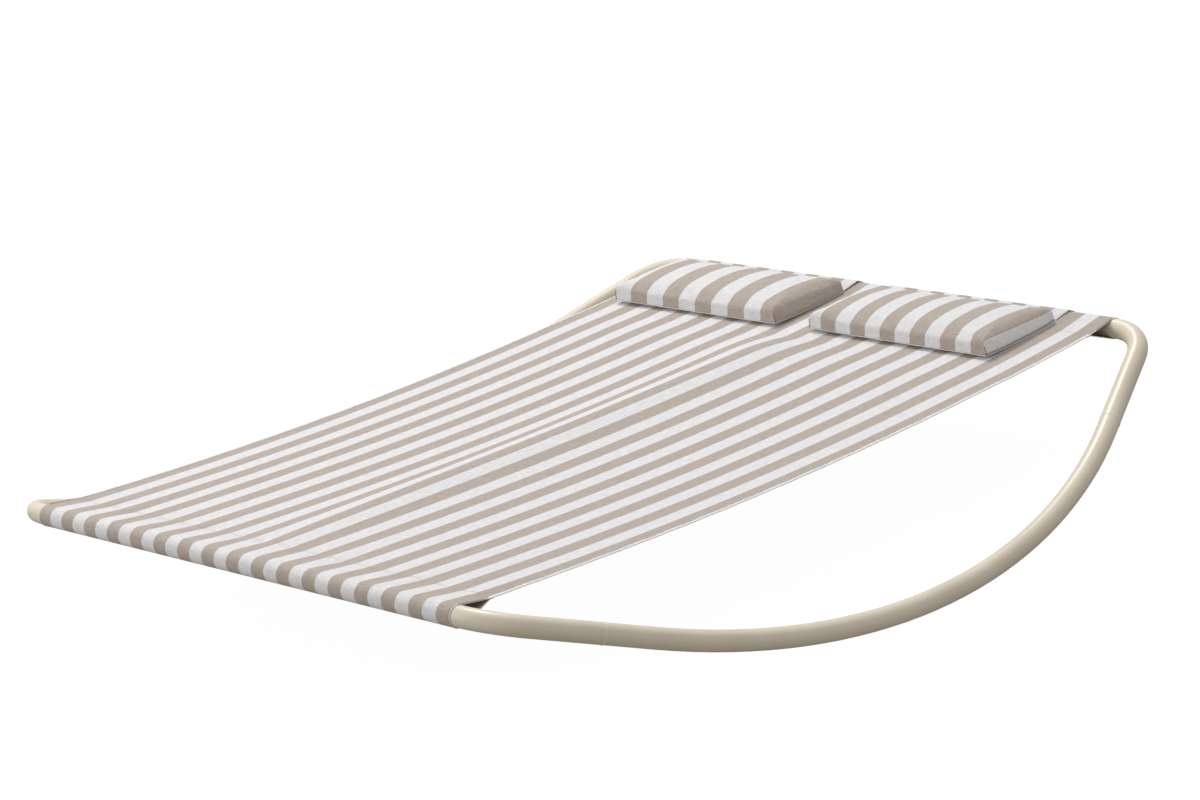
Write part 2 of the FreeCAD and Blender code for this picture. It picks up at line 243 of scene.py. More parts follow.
CLOTH = 0.0012
POCKET_CLEARANCE = 0.0003
SEAM_FROM_BAR = 0.077
SEAM_RISE = 0.009
SLING_SAG = 0.034
SEAM_TAIL = 0.009
LAYER_STEP = 0.0013
SLING_STRIPE = 0.0395
TAUPE = (0.50, 0.430, 0.372, 1)
TAUPE_DEEP = (0.33, 0.272, 0.223, 1)
WHITE = (0.82, 0.80, 0.80, 1)
WHITE_DEEP = (0.57, 0.555, 0.555, 1)
THREAD_PITCH = 0.0011
SLUB_LENGTH = 0.022
SLUB_WIDTH = 0.0013
OVER_UNDER = 0.035
CANVAS_RELIEF = 0.0006
BED_ROWS = 110
PULL_ROWS = 14
ROUND_ROWS = 36
TAIL_ROWS = 4
SLING_COLUMNS = 151
TAUT_LIFT = 0.004
TAUT_FADE = 2.3
RIDGE_H = 0.013
RIDGE_REACH = 0.07
SWELL_H = 0.012
SWELL_LEFT = 0.13
SWELL_RIGHT = 0.26
LEFT_RISE_H = 0.0045
LEFT_RISE_X = -0.34
LEFT_RISE_REACH = 0.2
PRESSED_FROM = 0.46
PRESSED_OVER = 0.14
PRESSED_SHARE = 0.7
PUCKERS = ((0.083, 1.0, 0.0), (0.061, 0.6, 1.3), (0.137, 0.5, 0.4))
PUCKER_REACH = 0.1
FOOT_PUCKER_H = 0.0013
HEAD_PUCKER_H = 0.0006

bar_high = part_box("head_bar")[1]
bar_y = bar_high.y - TUBE_R
bar_z = bar_high.z - TUBE_R
sling_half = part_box("sling_fabric")[1].x
seam_y = bar_y - SEAM_FROM_BAR
seam_z = bar_z + SEAM_RISE
pocket_r = TUBE_R + POCKET_CLEARANCE + CLOTH / 2


def linked_sum(tree, sort, first, second):
    """One sum of two values, each a number or another step's output."""
    return add_step(tree, "ShaderNodeMath", {0: first, 1: second}, operation=sort).outputs[0]


def slub_streaks(tree, across, along, width, length, seed):
    """Uneven threads: soft streaks of one width and length, running along."""
    spot = add_step(tree, "ShaderNodeCombineXYZ", {
        "X": linked_sum(tree, "DIVIDE", across, width),
        "Y": linked_sum(tree, "DIVIDE", along, length),
        "Z": seed})
    return add_step(tree, "ShaderNodeTexNoise", {"Vector": spot.outputs[0], "Scale": 1.0,
                                                 "Detail": 2.0}).outputs["Fac"]


def thread_wave(tree, place, pitch):
    """Up and down once for every thread."""
    return add_step(tree, "ShaderNodeMath", {0: linked_sum(tree, "MULTIPLY", place, 2 * pi / pitch)},
                    operation="SINE").outputs[0]


def canvas(name, stripe, shift):
    """Woven canvas.  The stripes follow the cloth's own width, and one starts in taupe at -shift."""
    made, tree, surface = start_finish(name)
    flat = add_step(tree, "ShaderNodeUVMap", {}, uv_map="flat_cloth")
    spread = add_step(tree, "ShaderNodeSeparateXYZ", {"Vector": flat.outputs["UV"]})
    across, along = spread.outputs["X"], spread.outputs["Y"]
    warp_slub = slub_streaks(tree, across, along, SLUB_WIDTH, SLUB_LENGTH, 0.0)
    weft_slub = slub_streaks(tree, along, across, SLUB_WIDTH, SLUB_LENGTH, 7.0)
    slub = linked_sum(tree, "MULTIPLY", linked_sum(tree, "ADD", warp_slub, weft_slub), 0.5)
    over_under = linked_sum(tree, "MULTIPLY", thread_wave(tree, across, THREAD_PITCH),
                            thread_wave(tree, along, THREAD_PITCH))
    wander = linked_sum(tree, "MULTIPLY", linked_sum(tree, "SUBTRACT", weft_slub, 0.5), THREAD_PITCH)
    place = linked_sum(tree, "ADD", linked_sum(tree, "ADD", across, wander), shift + 100 * stripe)
    white = linked_sum(tree, "MODULO", add_step(tree, "ShaderNodeMath", {
        0: linked_sum(tree, "DIVIDE", place, stripe)}, operation="FLOOR").outputs[0], 2.0)
    depth = linked_sum(tree, "ADD", slub, linked_sum(tree, "MULTIPLY", over_under, OVER_UNDER))
    in_taupe = shade_between(tree, depth, TAUPE_DEEP, TAUPE, 0.3, 0.62)
    in_white = shade_between(tree, depth, WHITE_DEEP, WHITE, 0.3, 0.62)
    tone = add_step(tree, "ShaderNodeMix", {0: white, 6: in_taupe, 7: in_white}, data_type="RGBA")
    bumps = add_step(tree, "ShaderNodeBump", {"Height": depth, "Strength": 0.55, "Distance": CANVAS_RELIEF})
    tree.links.new(tone.outputs[2], surface.inputs["Base Color"])
    tree.links.new(bumps.outputs["Normal"], surface.inputs["Normal"])
    surface.inputs["Roughness"].default_value = 0.86
    surface.inputs["Specular IOR Level"].default_value = 0.2
    surface.inputs["Sheen Weight"].default_value = 0.12
    surface.inputs["Sheen Roughness"].default_value = 0.5
    return made


def round_bar(angle, radius):
    """A point about the head bar's axis, as y and z, with angle 0 at the back and a quarter turn on top."""
    return bar_y + radius * np.cos(angle), bar_z + radius * np.sin(angle)


def swelling(x, height, middle, reach):
    """A smooth swelling across the sling."""
    return height * np.exp(-((x - middle) / reach) ** 2)


def cloth_lift(x, y):
    """How far the cloth stands above a plain sag: a taut ridge down the middle, and puckers at the seams."""
    ridge = swelling(x, RIDGE_H, 0, RIDGE_REACH)
    swell = swelling(x, SWELL_H, 0, np.where(x < 0, SWELL_LEFT, SWELL_RIGHT))
    left_rise = swelling(x, LEFT_RISE_H, LEFT_RISE_X, LEFT_RISE_REACH)
    under_pillows = 1 - PRESSED_SHARE * np.clip((y - PRESSED_FROM) / PRESSED_OVER, 0, 1) ** 2
    taut = (TAUT_LIFT + ridge + swell + left_rise) * (1 - np.abs(y / bar_y) ** TAUT_FADE) * under_pillows
    waves = sum(share * np.sin(2 * pi * x / length + start) for length, share, start in PUCKERS)
    near_seam = (np.exp(-np.abs(seam_y - np.abs(y)) / PUCKER_REACH)
                 * np.clip((bar_y - np.abs(y)) / SEAM_FROM_BAR, 0, 1))
    return taut + np.where(y < 0, FOOT_PUCKER_H, HEAD_PUCKER_H) * waves * near_seam


def plain_sag(y):
    """Height of the bed's middle surface, before any lift."""
    return seam_z - SLING_SAG * (1 - (y / seam_y) ** 2)


def half_sling():
    """One half of the sling, from its middle to the tail of the head pocket: rows of y, z and how lifted."""
    seam_angle = pi - atan2(SEAM_RISE, SEAM_FROM_BAR)
    spread = acos(pocket_r / hypot(SEAM_FROM_BAR, SEAM_RISE))
    bed = np.linspace(0, seam_y, BED_ROWS)
    share = np.linspace(0, 1, PULL_ROWS + 2)[1:-1]
    round_y, round_z = round_bar(np.linspace(seam_angle - spread, seam_angle + spread - 2 * pi, ROUND_ROWS),
                                 pocket_r)
    tail = np.linspace(seam_y, seam_y - SEAM_TAIL, TAIL_ROWS)
    tail_z = plain_sag(tail) - LAYER_STEP
    y = np.concatenate([bed, seam_y + (round_y[0] - seam_y) * share, round_y,
                        round_y[-1] + (seam_y - round_y[-1]) * share, tail])
    z = np.concatenate([plain_sag(bed), seam_z + (round_z[0] - seam_z) * share,
                        round_z, round_z[-1] + (tail_z[0] - round_z[-1]) * share, tail_z])
    held = np.concatenate([np.ones(BED_ROWS + PULL_ROWS), np.zeros(ROUND_ROWS), share, np.ones(TAIL_ROWS)])
    return y, z, held


half_y, half_z, half_held = half_sling()
upper_rows = BED_ROWS + PULL_ROWS + 1


def sling_height(x, y):
    """Height of the cloth's middle surface, on the bed and on the upper layer of the head pocket."""
    return np.interp(np.abs(y), half_y[:upper_rows], half_z[:upper_rows]) + cloth_lift(x, y)


def lay_grid(name, points, flat, finish):
    """A sheet of quads over a grid of points.  Flat gives each point's place on the flat cloth."""
    rows, columns = points.shape[:2]
    at = np.arange(rows * columns).reshape(rows, columns)
    quads = np.stack([at[:-1, :-1], at[:-1, 1:], at[1:, 1:], at[1:, :-1]], -1).reshape(-1, 4)
    made = place_mesh(name, points.reshape(-1, 3), quads, finish)
    lay_flat(made, np.asarray(flat, float).reshape(-1, 2)[quads.reshape(-1)])
    return made


def lay_flat(piece, corners):
    """Writes the flat cloth's places, one for each corner of each face."""
    layer = piece.data.uv_layers.new(name="flat_cloth")
    layer.data.foreach_set("uv", np.asarray(corners, np.float32).ravel())


def thicken(piece, thickness):
    """Gives a sheet its thickness, half on each side."""
    solid = piece.modifiers.new("Thickness", "SOLIDIFY")
    solid.thickness = thickness
    solid.offset = 0
    return piece


def whole_sling():
    """Both halves as one sheet, from the foot pocket's tail to the head pocket's."""
    y = np.concatenate([-half_y[:0:-1], half_y])
    z = np.concatenate([half_z[:0:-1], half_z])
    held = np.concatenate([half_held[:0:-1], half_held])
    x = np.linspace(-sling_half, sling_half, SLING_COLUMNS)
    along = np.concatenate([[0], np.cumsum(np.hypot(np.diff(y), np.diff(z)))])
    across, down = np.meshgrid(x, y)
    lifted_at = np.clip(down, -seam_y, seam_y)
    lifted_at[held == 1] = down[held == 1]
    height = z[:, None] + cloth_lift(across, lifted_at) * held[:, None]
    flat = np.stack(np.meshgrid(x, along), -1)
    stripes = canvas("sling_canvas", SLING_STRIPE, SLING_STRIPE / 2)
    made = lay_grid("sling", np.stack([across, down, height], -1), flat, stripes)
    return thicken(made, CLOTH), along[-1]


sling, sling_length = whole_sling()
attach(sling, "frame")
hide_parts("sling_fabric")


# ---- Edge binding ----
# A white woven tape is folded over each long edge of the sling and sewn through, and puckers a
# little between its stitches.  At the pockets a narrow white hem goes on round the bar instead.

BINDING_WIDTH = 0.008
BINDING_CLOTH = 0.0005
BINDING_CLEAR = 0.0003
BINDING_ROWS = 320
BINDING_RIBS = 0.0014
BINDING_PUCKER = 0.00035
HEM_WIDTH = 0.0022
HEM_CLOTH = 0.0004
HEM_CLEAR = 0.0001
HEM_OUT = 0.0002
TWILL_RELIEF = 0.0004
BINDING_WHITE = (0.83, 0.82, 0.81, 1)
BINDING_SHADE = (0.70, 0.69, 0.675, 1)


def twill(name, light, shade, pitch):
    """A plain tape with fine slanting ribs."""
    made, tree, surface = start_finish(name)
    flat = add_step(tree, "ShaderNodeUVMap", {}, uv_map="flat_cloth")
    spread = add_step(tree, "ShaderNodeSeparateXYZ", {"Vector": flat.outputs["UV"]})
    slant = linked_sum(tree, "ADD", spread.outputs["X"], spread.outputs["Y"])
    uneven = slub_streaks(tree, spread.outputs["X"], spread.outputs["Y"], SLUB_WIDTH, SLUB_LENGTH, 3.0)
    rib = linked_sum(tree, "MULTIPLY", thread_wave(tree, slant, pitch), 0.05)
    ribs = linked_sum(tree, "ADD", uneven, rib)
    bumps = add_step(tree, "ShaderNodeBump", {"Height": ribs, "Strength": 0.5, "Distance": TWILL_RELIEF})
    tree.links.new(shade_between(tree, ribs, shade, light, 0.3, 0.6), surface.inputs["Base Color"])
    tree.links.new(bumps.outputs["Normal"], surface.inputs["Normal"])
    surface.inputs["Roughness"].default_value = 0.8
    surface.inputs["Specular IOR Level"].default_value = 0.22
    surface.inputs["Sheen Weight"].default_value = 0.1
    return made


def folded_binding(name, side, finish):
    """The tape's section, from its upper edge round the sling's edge to its lower edge, swept along."""
    y = np.linspace(-seam_y, seam_y, BINDING_ROWS)
    clear = CLOTH / 2 + BINDING_CLEAR
    inward = np.array([1.0, 0.62, 0.25, 0.06, 0.0, 0.06, 0.25, 0.62, 1.0]) * BINDING_WIDTH
    upward = np.array([0.9, 1.0, 1.0, 0.75, 0.0, -0.75, -1.0, -1.0, -0.9]) * clear
    pucker = BINDING_PUCKER * np.sin(2 * pi * y / 0.047) * np.sin(2 * pi * y / 0.031 + 0.7)
    edge = side * (sling_half + BINDING_CLEAR)
    rows = []
    for place, wave in zip(y, pucker):
        height = sling_height(np.array(edge), np.array(place)) + wave
        rows.append(np.stack([edge - side * inward, np.full(len(inward), place), height + upward], -1))
    flat = np.stack(np.meshgrid(np.linspace(0, 2 * BINDING_WIDTH, len(inward)), y), -1)
    return thicken(lay_grid(name, np.array(rows), flat, finish), BINDING_CLOTH)


def pocket_hem(name, side, end, finish):
    """The hem of one pocket mouth, swept from the upper layer's seam round the bar to the lower layer's."""
    first = BED_ROWS - 2
    y, z = half_y[first:], half_z[first:]
    ahead = np.stack([np.gradient(y), np.gradient(z)], -1)
    ahead /= np.linalg.norm(ahead, axis=1, keepdims=True)
    inward = np.array([1.0, 0.4, 0.0, 0.4, 1.0]) * HEM_WIDTH
    outward = np.array([1.0, 1.0, 0.0, -1.0, -1.0]) * (CLOTH / 2 + HEM_CLEAR)
    edge = side * (sling_half + HEM_OUT)
    lift = cloth_lift(np.full_like(y, edge), np.minimum(y, seam_y) * end) * half_held[first:]
    rows = [np.stack([edge - side * inward, end * (back - outward * way[1]),
                      up + rise + outward * way[0]], -1)
            for back, up, rise, way in zip(y, z, lift, ahead)]
    gone = np.concatenate([[0], np.cumsum(np.hypot(np.diff(y), np.diff(z)))])
    flat = np.stack(np.meshgrid(np.linspace(0, 2 * HEM_WIDTH, len(inward)), gone), -1)
    return thicken(lay_grid(name, np.array(rows), flat, finish), HEM_CLOTH)


binding_tape = twill("binding_tape", BINDING_WHITE, BINDING_SHADE, BINDING_RIBS)
for name, side, end in (("foot_left", -1, -1), ("foot_right", 1, -1),
                        ("head_left", -1, 1), ("head_right", 1, 1)):
    hem = pocket_hem(name + "_hem", side, end, binding_tape)
    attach(hem, "frame")
for name, side in (("left", -1), ("right", 1)):
    binding = folded_binding(name + "_binding", side, binding_tape)
    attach(binding, "frame")
    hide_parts(name + "_edge_binding")


# ---- Sling stitching ----
# Heavy off-white polyester thread, lockstitched.  Two rows close each bar pocket,
# and one row runs along each edge binding.

STITCH = 0.0045
STITCH_ENDS = 0.38
STITCH_FLAT = 0.2
THREAD_R = 0.0004
THREAD_TWIST = 1800.0
THREAD_RELIEF = 0.0002
THREAD_COLOUR = (0.68, 0.63, 0.56, 1)
THREAD_SHADE = (0.50, 0.45, 0.39, 1)
ROW_APART = 0.005
ROW_STOPS = 0.002
ROW_ON_BINDING = 0.7
THREAD_ABOVE = 0.0002


def sewing_thread(name, colour, shade):
    """Twisted thread, darker in its grooves.  Also makes the dark cords that paint shade in the pillows'
    dart creases.
    """
    made, tree, surface = start_finish(name)
    place = tree.nodes.new("ShaderNodeTexCoord").outputs["Object"]
    twist = add_step(tree, "ShaderNodeTexNoise", {"Vector": place, "Scale": THREAD_TWIST, "Detail": 2.0})
    tone = shade_between(tree, twist.outputs["Fac"], shade, colour, 0.35, 0.6)
    bumps = add_step(tree, "ShaderNodeBump", {"Height": twist.outputs["Fac"], "Strength": 0.4,
                                              "Distance": THREAD_RELIEF})
    tree.links.new(tone, surface.inputs["Base Color"])
    tree.links.new(bumps.outputs["Normal"], surface.inputs["Normal"])
    surface.inputs["Roughness"].default_value = 0.55
    surface.inputs["Sheen Weight"].default_value = 0.2
    return made


def stitch_row(line):
    """Points and faces of one row of stitches along a line of points."""
    line = np.asarray(line, float)
    gone = np.concatenate([[0], np.cumsum(np.linalg.norm(np.diff(line, axis=0), axis=1))])
    count = max(1, int(gone[-1] / STITCH))
    points, faces = [], []
    for number in range(count):
        middle = (number + 0.5) * gone[-1] / count
        ends = [[np.interp(middle + shift, gone, line[:, axis]) for axis in range(3)]
                for shift in (-STITCH_ENDS * STITCH, -STITCH_FLAT * STITCH, STITCH_FLAT * STITCH,
                              STITCH_ENDS * STITCH)]
        ahead = np.subtract(ends[3], ends[0])
        ahead /= np.linalg.norm(ahead)
        beside = np.cross(ahead, [0.0, 0.0, 1.0])
        beside /= np.linalg.norm(beside)
        over = np.cross(beside, ahead)
        first = len(points)
        points.append(np.array(ends[0]) - over * THREAD_R)
        for ring in ends[1:3]:
            points += [ring + THREAD_R * (beside * cos(a) + over * sin(a))
                       for a in (0, pi / 2, pi, 3 * pi / 2)]
        points.append(np.array(ends[3]) - over * THREAD_R)
        for side in range(4):
            turn = (side + 1) % 4
            faces += [(first, first + 1 + turn, first + 1 + side),
                      (first + 1 + side, first + 1 + turn, first + 5 + turn, first + 5 + side),
                      (first + 9, first + 5 + side, first + 5 + turn)]
    return points, faces


def sew(name, lines, finish):
    """All the stitches of several rows, as one piece."""
    points, faces = [], []
    for line in lines:
        more, joined = stitch_row(line)
        faces += [[corner + len(points) for corner in face] for face in joined]
        points += more
    return place_mesh(name, points, faces, finish)


def pocket_rows():
    """The two rows that close each pocket."""
    x = np.linspace(-sling_half + BINDING_WIDTH, sling_half - BINDING_WIDTH, 260)
    rows = []
    for end in (-1, 1):
        for back in (0.0, ROW_APART):
            y = np.full_like(x, end * (seam_y - back))
            rows.append(np.stack([x, y, sling_height(x, y) + CLOTH / 2 + THREAD_ABOVE], -1))
    return rows


def binding_rows():
    """One row along each binding."""
    y = np.linspace(-seam_y + ROW_STOPS, seam_y - ROW_STOPS, 300)
    rows = []
    for side in (-1, 1):
        x = np.full_like(y, side * (sling_half - BINDING_WIDTH * ROW_ON_BINDING))
        above = CLOTH / 2 + BINDING_CLEAR + BINDING_CLOTH / 2 + THREAD_ABOVE
        rows.append(np.stack([x, y, sling_height(x, y) + above], -1))
    return rows


thread = sewing_thread("sewing_thread", THREAD_COLOUR, THREAD_SHADE)
sling_stitching = sew("sling_stitching", pocket_rows() + binding_rows(), thread)
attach(sling_stitching, "frame")


# ---- Pillows ----
# Each is a canvas case filled with loose fibre.  Its top panel runs on down the front, and the
# front corners are closed by short darts.  The flat base is sewn on round its edge.  The right
# pillow's side wall carries on the top's last stripe.

PILLOW_BACK_H = 0.026
PILLOW_CROWN_H = 0.048
PILLOW_FRONT_H = 0.020
PILLOW_CROWN_AT = 0.55
END_BACK_H = 0.028
END_FRONT_H = 0.043
END_CORNER_H = 0.031
END_ROUNDING = 0.016
FRONT_ROUNDNESS = 2.3
DOME_FLATNESS = 5
PROFILE_STEPS = 900
ROWS_ACROSS = 56
ROWS_DEEP = 28
ROWS_UP = 4
BASE_CLEAR = 0.0012
END_ROLL = 0.009
EDGE_LIFT = 0.006
LIFT_REACH = 0.05
SETTLE_LOST_ON_TOP = 0.6
END_CROWDING = 0.65
BASE_STRIP = 0.007
SEAM_TURN = 0.0005
STRIPES_TO_WALL_END = 12
# For each pillow: its stripe's width, where its stripes start, and whether its side carries one on.
PILLOW_STRIPES = {"left": (0.0523, 0.0, False), "right": (0.0438, 0.2258, True)}
FILLING_PRESSURE = 3.5
FILLING_STEPS = 20
FILLING_SWELLS = 0.005


class Pillow:
    """Where one pillow lies: its middle, half width, depth and slope, from its CAD case and base."""

    def __init__(self, side):
        self.side = side
        low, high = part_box(side + "_pillow_cover")
        base_low, base_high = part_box(side + "_pillow_base")
        self.middle = (low.x + high.x) / 2
        self.half = (high.x - low.x) / 2
        self.slope = atan((base_high.z - base_low.z - CLOTH) / (base_high.y - base_low.y))
        self.back_y = high.y
        self.front_z = low.z
        self.depth = (high.y - base_low.y) / cos(self.slope)
        self.back_z = self.front_z + self.depth * sin(self.slope)

    def place(self, across, deep, high):
        """From the pillow's own measures to the frame's, with the base following the sling under it."""
        x = self.middle + across
        y = self.back_y - deep * cos(self.slope) - high * sin(self.slope)
        z = self.back_z - deep * sin(self.slope) + high * cos(self.slope)
        rest = self.back_z - deep * sin(self.slope)
        settle = sling_height(x, self.back_y - deep * cos(self.slope)) + CLOTH / 2 + BASE_CLEAR - rest
        past_front = np.clip((deep - self.depth) / LIFT_REACH + 1, 0, 1)
        past_end = np.clip((np.abs(across) - self.half) / LIFT_REACH + 1, 0, 1) * deep / self.depth
        settle += EDGE_LIFT * np.maximum(past_front, past_end) ** 2
        kept = 1 - SETTLE_LOST_ON_TOP * np.clip(high / PILLOW_CROWN_H, 0, 1)
        return np.stack([x, y, z + settle * kept], -1)


def even_steps(deep, high, steps):
    """A line resampled into equal steps along its length."""
    gone = np.concatenate([[0], np.cumsum(np.hypot(np.diff(deep), np.diff(high)))])
    wanted = np.linspace(0, gone[-1], steps + 1)
    return np.interp(wanted, gone, deep), np.interp(wanted, gone, high), wanted


def top_panel(pillow):
    """Grid of the top panel, from the back edge to the upper edge of the front wall."""
    deep = np.linspace(0, pillow.depth, PROFILE_STEPS)
    crown = pillow.depth * PILLOW_CROWN_AT
    behind = PILLOW_BACK_H + (PILLOW_CROWN_H - PILLOW_BACK_H) * (1 - (1 - deep / crown) ** 2)
    past = np.clip((deep - crown) / (pillow.depth - crown), 0, 1)
    fall = (1 - past ** FRONT_ROUNDNESS) ** (1 / FRONT_ROUNDNESS)
    ahead = PILLOW_FRONT_H + (PILLOW_CROWN_H - PILLOW_FRONT_H) * fall
    mid_deep, mid_high, flat = even_steps(deep, np.where(deep < crown, behind, ahead), ROWS_DEEP)
    end_line = END_BACK_H + (END_FRONT_H - END_BACK_H) * deep / pillow.depth
    nose = np.clip((deep - pillow.depth + END_ROUNDING) / END_ROUNDING, 0, 1)
    end_line -= (END_FRONT_H - END_CORNER_H) * (1 - np.sqrt(1 - nose ** 2))
    end_deep, end_high, _ = even_steps(deep, end_line, ROWS_DEEP)
    even = np.linspace(-1, 1, ROWS_ACROSS + 1)
    across = pillow.half * ((1 - END_CROWDING) * even + END_CROWDING * np.sin(even * pi / 2))
    domed = (1 - np.abs(across / pillow.half) ** DOME_FLATNESS)[:, None]
    deep = end_deep + (mid_deep - end_deep) * domed
    high = end_high + (mid_high - end_high) * domed
    to_end = np.clip((np.abs(across) - pillow.half + END_ROLL) / END_ROLL, 0, 1)[:, None]
    high -= END_ROLL * (1 - np.sqrt(1 - to_end ** 2)) * np.clip(high / END_FRONT_H, 0, 1)
    return np.repeat(across[:, None], ROWS_DEEP + 1, 1), deep, high, flat


def panel_edge():
    """The grid places round a panel's edge: back, right side, front, left side."""
    last, front = ROWS_ACROSS, ROWS_DEEP
    return ([(i, 0) for i in range(last)] + [(last, j) for j in range(front)]
            + [(i, front) for i in range(last, 0, -1)] + [(0, j) for j in range(front, 0, -1)])


edge_places = panel_edge()
panel_points = (ROWS_ACROSS + 1) * (ROWS_DEEP + 1)


def panel_point(place):
    """Number of the top panel's point at a grid place.  The base's points follow in the same order."""
    return place[0] * (ROWS_DEEP + 1) + place[1]


def wall_point(place, level):
    """Number of a point on the wall, level 0 at the top panel and ROWS_UP at the base."""
    if level == 0:
        return panel_point(place)
    if level == ROWS_UP:
        return panel_points + panel_point(place)
    return 2 * panel_points + edge_places.index(place) * (ROWS_UP - 1) + level - 1


def wall_of(place):
    """Which wall the stretch of edge that starts at this place belongs to."""
    i, j = place
    if j == 0 and i < ROWS_ACROSS:
        return "back"
    if i == ROWS_ACROSS and j < ROWS_DEEP:
        return "right"
    return "front" if j == ROWS_DEEP and i > 0 else "left"


def side_cloth(pillow, drop, wall_height):
    """Place on the flat cloth of a point on the right side wall, drop below the upper edge."""
    stripe, shift, carried_on = PILLOW_STRIPES[pillow.side]
    if carried_on:
        left_of_stripe = STRIPES_TO_WALL_END * stripe - shift - pillow.half
        return pillow.half + left_of_stripe * drop / (wall_height - BASE_STRIP)
    return pillow.half - SEAM_TURN - drop


def case_points(across, deep, high, base_flat):
    """Points of the top panel, of the base under it, then of the levels of wall between them."""
    top = np.stack([across, deep, high], -1).reshape(-1, 3)
    base_deep = np.repeat(base_flat[None, :], ROWS_ACROSS + 1, 0)
    base = np.stack([across, base_deep, np.zeros_like(across)], -1).reshape(-1, 3)
    points = [*top, *base]
    for place in edge_places:
        upper, lower = top[panel_point(place)], base[panel_point(place)]
        points += [upper + (lower - upper) * level / ROWS_UP for level in range(1, ROWS_UP)]
    return np.array(points)


def panel_faces(across, top_flat, base_flat):
    """Faces of the top panel and the base, and each corner's place on the flat cloth."""
    faces, cloth = [], []
    for i in range(ROWS_ACROSS):
        for j in range(ROWS_DEEP):
            corners = [(i, j), (i, j + 1), (i + 1, j + 1), (i + 1, j)]
            faces.append([panel_point(corner) for corner in corners])
            cloth += [(across[a, b], top_flat[b]) for a, b in corners]
            faces.append([panel_points + panel_point(corner) for corner in reversed(corners)])
            cloth += [(across[a, b], base_flat[b]) for a, b in reversed(corners)]
    return faces, cloth


def wall_faces(pillow, across, high, top_flat):
    """Faces of the four walls, and each corner's place on the flat cloth."""
    faces, cloth = [], []
    for number, place in enumerate(edge_places):
        following = edge_places[(number + 1) % len(edge_places)]
        wall = wall_of(place)
        for level in range(ROWS_UP):
            ring = [(place, level), (following, level), (following, level + 1), (place, level + 1)]
            faces.append([wall_point(spot, row) for spot, row in ring])
            for (i, j), row in ring:
                drop = high[i, j] * row / ROWS_UP
                if wall == "right":
                    cloth.append((side_cloth(pillow, drop, high[i, j]), top_flat[j]))
                elif wall == "left":
                    cloth.append((-pillow.half + SEAM_TURN + drop, top_flat[j]))
                else:
                    cloth.append((across[i, j], top_flat[j] + (drop if wall == "front" else -drop)))
    return faces, cloth


def fill_out(case, pinned, most):
    """Blows the case out with cloth simulation, held at its sewn base, then keeps the new shape."""
    group = case.vertex_groups.new(name="sewn_base")
    group.add(pinned, 1.0, "REPLACE")
    start = np.array([v.co for v in case.data.vertices])
    blown = case.modifiers.new("Filling", "CLOTH")
    fabric = blown.settings
    fabric.quality = 6
    fabric.mass = 0.25
    fabric.tension_stiffness = fabric.compression_stiffness = 20
    fabric.shear_stiffness = 8
    fabric.bending_stiffness = 0.6
    fabric.vertex_group_mass = "sewn_base"
    fabric.pin_stiffness = 1
    fabric.use_pressure = True
    fabric.uniform_pressure_force = FILLING_PRESSURE
    fabric.effector_weights.gravity = 0
    blown.collision_settings.use_collision = False
    blown.point_cache.frame_start, blown.point_cache.frame_end = 1, FILLING_STEPS
    for moment in range(1, FILLING_STEPS + 1):
        bpy.context.scene.frame_set(moment)
    shaped = case.evaluated_get(bpy.context.evaluated_depsgraph_get()).data
    moved = np.array([v.co for v in shaped.vertices]) - start
    far = np.linalg.norm(moved, axis=1, keepdims=True)
    moved *= most * np.tanh(far / most) / np.maximum(far, 1e-9)
    case.modifiers.remove(blown)
    bpy.context.scene.frame_set(1)
    case.data.vertices.foreach_set("co", (start + moved).astype(np.float32).ravel())
    case.data.update()


def soften(piece):
    """Rounds the case between its grid points."""
    smooth = piece.modifiers.new("Softness", "SUBSURF")
    smooth.levels = smooth.render_levels = 1


def make_pillow(pillow):
    """One filled case, with the lines of its front corners and of its base's rim."""
    stripe, shift, _ = PILLOW_STRIPES[pillow.side]
    across, deep, high, top_flat = top_panel(pillow)
    base_flat = np.linspace(0, pillow.depth, ROWS_DEEP + 1)
    points = case_points(across, deep, high, base_flat)
    faces, cloth = panel_faces(across, top_flat, base_flat)
    more_faces, more_cloth = wall_faces(pillow, across, high, top_flat)
    placed = pillow.place(points[:, 0], points[:, 1], points[:, 2])
    striped = canvas(pillow.side + "_pillow_canvas", stripe, shift)
    case = place_mesh(pillow.side + "_pillow", placed, faces + more_faces, striped)
    lay_flat(case, cloth + more_cloth)
    fill_out(case, list(range(panel_points, 2 * panel_points)), FILLING_SWELLS)
    corners = [[np.array(case.data.vertices[wall_point(place, level)].co) for level in range(ROWS_UP + 1)]
               for place in ((0, ROWS_DEEP), (ROWS_ACROSS, ROWS_DEEP))]
    rim = [np.array(case.data.vertices[wall_point(place, ROWS_UP)].co) for place in edge_places]
    soften(case)
    return case, corners, rim


pillows = {}
for side in ("left", "right"):
    pillow = Pillow(side)
    case, pillow.corners, pillow.rim = make_pillow(pillow)
    body = side + "_pillow"
    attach(case, body)
    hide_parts(side + "_pillow_cover", side + "_pillow_base", side + "_pillow_filling")
    pillows[side] = pillow


# ---- Pillow seams ----
# The base panel is sewn to the case with a narrow white welt along the front and both sides.
# A dart, pinched and stitched, closes each front corner.  A dark cord along each dart is painted shade in
# its crease.

WELT_OUT = 0.0017
WELT_THICK = 0.0012
DART_R = 0.0009
DART_PROUD = 0.0004
CORD_SIDES = 6
DART_SHADOW_COLOUR = (0.20, 0.17, 0.145, 1)
DART_SHADE = (0.10, 0.085, 0.07, 1)


